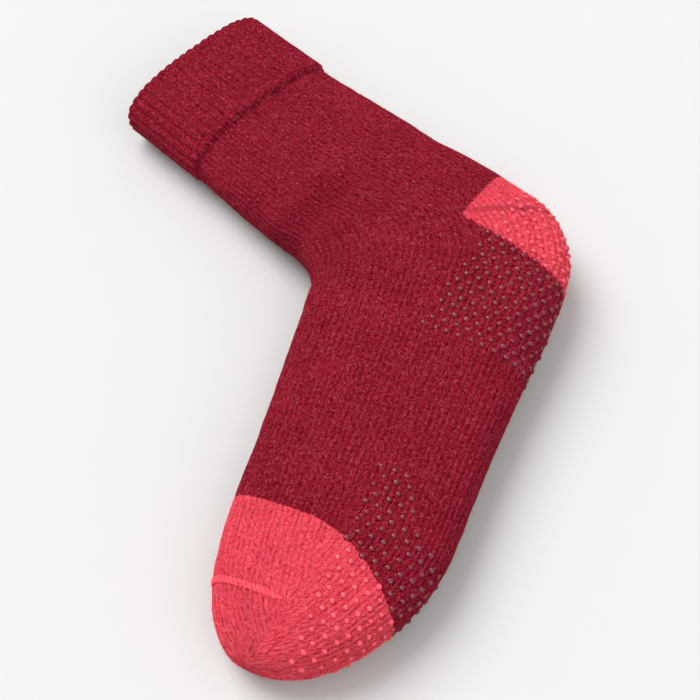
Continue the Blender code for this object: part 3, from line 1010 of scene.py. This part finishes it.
def yarn_painted_shading():
    """Paints shade and highlight onto yarn: painted shade deep in the gaps, painted highlight paler on the
    brushed-up fibre, with slow variation of the dye.
    """
    inputs = [
        ("Color", "NodeSocketColor", BURGUNDY),
        ("Gap", "NodeSocketFloat", 0.0),
        ("Streak", "NodeSocketFloat", 0.5),
        ("Depth", "NodeSocketFloat", 1.0),
        ("Bloom", "NodeSocketFloat", 1.0),
    ]
    tree, nodes, given, put = group("Yarn painted shade and highlight", inputs, [("Color", "NodeSocketColor")])
    slow = nodes.noise(nodes.place(), 45.0, detail=2.0)
    strong = nodes.fed_node("ShaderNodeGamma", ("Color", "Gamma"), (given["Color"], 1.55)).outputs[0]
    # painted shade: a deeper, redder copy of the yarn's colour for the gaps
    painted_shade_colour = nodes.mix(1.0, strong, PAINTED_SHADE_TINT, "MULTIPLY")
    # painted highlight: a paler copy of the yarn's colour for the lit tops
    pale = nodes.mix(0.095, given["Color"], PAINTED_HIGHLIGHT_TINT)
    # how strongly painted shade falls, in the gaps and on the low, hollow nap
    low = nodes.times(given["Gap"], given["Depth"])
    low = nodes.math("MAXIMUM", low, nodes.spread(given["Streak"], 0.51, 0.38, 0.0, 0.8))
    # painted highlight on the brushed-up nap
    lit = nodes.times(nodes.spread(given["Streak"], 0.51, 0.62), given["Bloom"])
    yarn = nodes.mix(lit, nodes.mix(low, given["Color"], painted_shade_colour), pale)
    # the dye varies slowly, and the painted highlight brightens the lit tops further
    strength = nodes.plus(nodes.spread(slow, 0.3, 0.7, 0.94, 1.05), nodes.times(lit, 0.14))
    tint = nodes.fed_node("ShaderNodeVectorMath", (0, "Scale"), (yarn, strength), operation="SCALE")
    nodes.feed(put, "Color", tint.outputs[0])
    return tree


def new_material(name):
    """A material, its recipe and its Principled shader."""
    material = bpy.data.materials.new(name)
    material.use_nodes = True
    return material, Recipe(material.node_tree), material.node_tree.nodes["Principled BSDF"]


def use_group(recipe, tree, **values):
    made = recipe.node("ShaderNodeGroup", node_tree=tree)
    for name, value in values.items():
        recipe.feed(made, name, value)
    return made.outputs


def raise_bump(recipe, shader, height, distance, strength=1.0):
    bump = recipe.node("ShaderNodeBump")
    recipe.feed(bump, "Height", height)
    recipe.feed(bump, "Distance", distance)
    recipe.feed(bump, "Strength", strength)
    recipe.feed(shader, "Normal", bump.outputs[0])


def brushed_knit(stitches, pockets, depth):
    """The outer cloth."""
    material, nodes, shader = new_material("Brushed knit, burgundy with coral pockets")
    wale, course = nodes.split(nodes.node("ShaderNodeUVMap", uv_map="Stitches").outputs[0])[:2]
    relief = use_group(nodes, stitches, Wale=wale, Course=course, Nap=1.0)
    yarn = use_group(nodes, pockets, Wale=wale, Tooth=1.0, Burgundy=BURGUNDY, Coral=CORAL)
    # painted shade goes less deep on the coral pockets
    coral_shade_depth = nodes.spread(yarn["Coral"], 0.0, 1.0, 1.0, 0.85)
    given = {"Color": yarn["Color"], "Gap": relief["Gap"], "Streak": relief["Streak"]}
    # painted shade in the gaps and painted highlight on the brushed nap
    shaded = use_group(nodes, depth, Depth=coral_shade_depth, Bloom=1.0, **given)
    nodes.feed(shader, "Base Color", shaded["Color"])
    nodes.feed(shader, "Roughness", nodes.spread(relief["Streak"], 0.3, 0.7, 0.98, 0.82))
    shader.inputs["Specular IOR Level"].default_value = 0.02
    shader.inputs["Sheen Weight"].default_value = 0.03
    shader.inputs["Sheen Roughness"].default_value = 0.30
    shader.inputs["Sheen Tint"].default_value = (1.0, 0.35, 0.42, 1)
    raise_bump(nodes, shader, relief["Height"], distance=0.0012)
    return material


def terry_inside(depth):
    """The looped inside of the cloth, seen at the collar."""
    material, nodes, shader = new_material("Terry loops inside")
    place = nodes.place()
    loops = nodes.fed_node("ShaderNodeTexVoronoi", ("Vector", "Scale"), (place, 620.0))
    bead = nodes.spread(loops.outputs["Distance"], 0.0, 0.7, 1.0, 0.0)
    fine = nodes.noise(place, 1800.0, detail=3.0)
    # painted shade between the terry loops, and painted highlight on the fine noise
    gap = nodes.spread(bead, 0.5, 0.05)
    shaded = use_group(nodes, depth, Color=BURGUNDY, Gap=gap, Streak=fine, Depth=0.6, Bloom=0.4)
    nodes.feed(shader, "Base Color", shaded["Color"])
    nodes.feed(shader, "Roughness", nodes.spread(fine, 0.3, 0.7, 0.98, 0.85))
    shader.inputs["Specular IOR Level"].default_value = 0.15
    raise_bump(nodes, shader, nodes.plus(bead, nodes.times(fine, 0.4)), distance=0.0010)
    return material


def seam_yarn(depth):
    """Coral yarn of the toe seam."""
    material, nodes, shader = new_material("Coral seam yarn")
    fine = nodes.noise(nodes.place(), 1300.0, detail=4.0, rough=0.6, twist=1.0)
    # painted shade in the grooves between stitches and in fine pits, and painted highlight on the fine
    # noise
    groove = nodes.spread(nodes.attribute("groove"), 0.35, 0.95)
    gap = nodes.math("MAXIMUM", nodes.spread(fine, 0.50, 0.36), groove)
    shaded = use_group(nodes, depth, Color=CORAL, Gap=gap, Streak=fine, Depth=0.9, Bloom=0.3)
    nodes.feed(shader, "Base Color", shaded["Color"])
    nodes.feed(shader, "Roughness", nodes.spread(fine, 0.3, 0.7, 0.95, 0.8))
    shader.inputs["Specular IOR Level"].default_value = 0.2
    raise_bump(nodes, shader, fine, distance=0.0005)
    return material


def clear_silicone(pockets):
    """Clear grip dots, slightly milky, with a wet gloss. The yarn under each one is painted into the dot's
    colour as if seen through it, with painted shade at the rim and a lighter painted crown.
    """
    material, nodes, shader = new_material("Clear silicone")
    place = nodes.place()
    milk = nodes.noise(place, 900.0, detail=2.0)
    rim = use_group(nodes, pockets, Tooth=0.0, Burgundy=DOT_SHADED_RIM_BURGUNDY, Coral=DOT_SHADED_RIM_CORAL)
    crown = use_group(nodes, pockets, Tooth=0.0, Burgundy=DOT_LIT_CROWN_BURGUNDY, Coral=DOT_LIT_CROWN_CORAL)
    # painted shade darkens each dot towards its rim, and the crown is a lighter, lit copy
    body = nodes.mix(nodes.spread(nodes.attribute("rim"), 0.95, 0.45), rim["Color"], crown["Color"])
    nodes.feed(shader, "Base Color", nodes.mix(nodes.spread(milk, 0.3, 0.8, 0.0, 0.10), body, DOT_MILK))
    nodes.feed(shader, "Roughness", nodes.spread(milk, 0.3, 0.7, 0.07, 0.14))
    shader.inputs["Transmission Weight"].default_value = 0.15
    shader.inputs["IOR"].default_value = 1.41
    shader.inputs["Specular IOR Level"].default_value = 0.42
    shader.inputs["Coat Weight"].default_value = 0.2
    shader.inputs["Coat Roughness"].default_value = 0.06
    raise_bump(nodes, shader, nodes.noise(place, 700.0, detail=2.0), distance=0.0003, strength=0.5)
    return material


def nap_fibre(pockets):
    """Loose fibres, in the colour of the yarn they stand on, a few of them pale."""
    material, nodes, shader = new_material("Nap fibre")
    yarn = use_group(nodes, pockets, Tooth=0.0, Burgundy=FIBRE_BURGUNDY, Coral=FIBRE_CORAL)
    fibre = nodes.attribute("fibre")
    edge = nodes.spread(nodes.math("ABSOLUTE", nodes.attribute("toe_side")), 0.8, 0.3, 0.0, 0.10)
    pale = nodes.spread(nodes.plus(fibre, edge), 0.9962, 0.9968)
    nodes.feed(shader, "Base Color", nodes.mix(pale, yarn["Color"], FIBRE_PALE))
    nodes.feed(shader, "Roughness", nodes.spread(fibre, 0.0, 1.0, 0.7, 0.9))
    shader.inputs["Specular IOR Level"].default_value = 0.15
    return material


def studio_floor():
    """Pale matt paper."""
    material, nodes, shader = new_material("Pale studio paper")
    mottle = nodes.noise(nodes.place(), 60.0, detail=3.0)
    nodes.feed(shader, "Base Color", nodes.mix(mottle, *PAPER_COLOURS))
    nodes.feed(shader, "Roughness", nodes.spread(mottle, 0.0, 1.0, 0.85, 0.95))
    mesh = bpy.data.meshes.new("studio_floor")
    signs = ((-1, -1), (1, -1), (1, 1), (-1, 1))
    corners = [(x * FLOOR_REACH, y * FLOOR_REACH, -FLOOR_GAP) for x, y in signs]
    mesh.from_pydata(corners, [], [(0, 1, 2, 3)])
    mesh.materials.append(material)
    floor = bpy.data.objects.new("studio_floor", mesh)
    bpy.context.scene.collection.objects.link(floor)


def soft_light(name, way, spread, strength, colour):
    """An even light from one way, as soft as a diffuser that fills the given angle."""
    light = bpy.data.lights.new(name, "SUN")
    light.angle = spread
    light.energy = strength
    light.color = colour
    made = bpy.data.objects.new(name, light)
    made.rotation_euler = (-Vector(way)).to_track_quat("-Z", "Y").to_euler()
    bpy.context.scene.collection.objects.link(made)


def studio():
    """Soft daylight from the upper left of the picture, and a pale room."""
    studio_floor()
    soft_light("window", (0.35, 1.05, 1.40), math.radians(42), strength=3.2, colour=(1.0, 0.985, 0.97))
    soft_light("fill", (-0.55, -1.1, 1.0), math.radians(60), strength=0.9, colour=(1.0, 0.99, 0.98))
    world = bpy.data.worlds.new("pale room")
    bpy.context.scene.world = world
    world.use_nodes = True
    sky = world.node_tree.nodes["Background"]
    sky.inputs["Color"].default_value = (1.0, 0.99, 0.985, 1)
    sky.inputs["Strength"].default_value = 0.73


def camera(points):
    """Looks at the sock from the photograph's angle, with all of it in the frame."""
    level = math.cos(VIEW_ELEVATION)
    ahead = Vector((math.sin(VIEW_AZIMUTH), -math.cos(VIEW_AZIMUTH), 0)) * level
    back = ahead + Vector((0, 0, math.sin(VIEW_ELEVATION)))
    turn = (-back).to_track_quat("-Z", "Y")
    right = turn @ Vector((1, 0, 0))
    up = turn @ Vector((0, 1, 0))
    aim = Vector(points.mean(axis=0))
    sample = points[::37]  # enough of the cloth to frame it by
    for attempt in range(8):
        away = sample - np.array(aim + back * VIEW_DISTANCE)
        depth = -(away @ np.array(back))
        across = away @ np.array(right) / depth
        rise = away @ np.array(up) / depth
        aim = aim + right * ((across.max() + across.min()) / 2 * VIEW_DISTANCE)
        aim = aim + up * ((rise.max() + rise.min()) / 2 * VIEW_DISTANCE)
    half = max(np.ptp(across), np.ptp(rise)) / 2 * VIEW_MARGIN
    data = bpy.data.cameras.new("camera")
    data.sensor_width = 36
    data.lens = data.sensor_width / 2 / half
    data.clip_start = 0.01
    made = bpy.data.objects.new("camera", data)
    made.rotation_mode = "QUATERNION"
    made.rotation_quaternion = turn
    made.location = aim + back * VIEW_DISTANCE
    bpy.context.scene.collection.objects.link(made)
    bpy.context.scene.camera = made
    bpy.context.scene.view_settings.view_transform = "Standard"


rows = section_rows()
SHIFT = Vector(BODY_LOW)  # from the sock's own origin to the CAD model's frame
SHIFT.y -= skin(rows, 0.0, *ROUGH_RINGS)[0][..., 1].min()
pockets = pocket_yarn()
depth = yarn_painted_shading()
cloth, shaped = knit_piece(rows, brushed_knit(brushed_stitches(), pockets, depth), terry_inside(depth))
seam_piece(rows, seam_yarn(depth))
dot_piece(cloth, clear_silicone(pockets))
nap = nap_fibre(pockets)
fuzz_piece("short_nap", shaped, nap, seed=21, count=19000, long=0.0013)
fuzz_piece("loose_fibres", shaped, nap, seed=22, count=9000, long=0.0024)
studio()
camera(place_on_cad(shaped.reshape(-1, 3)))
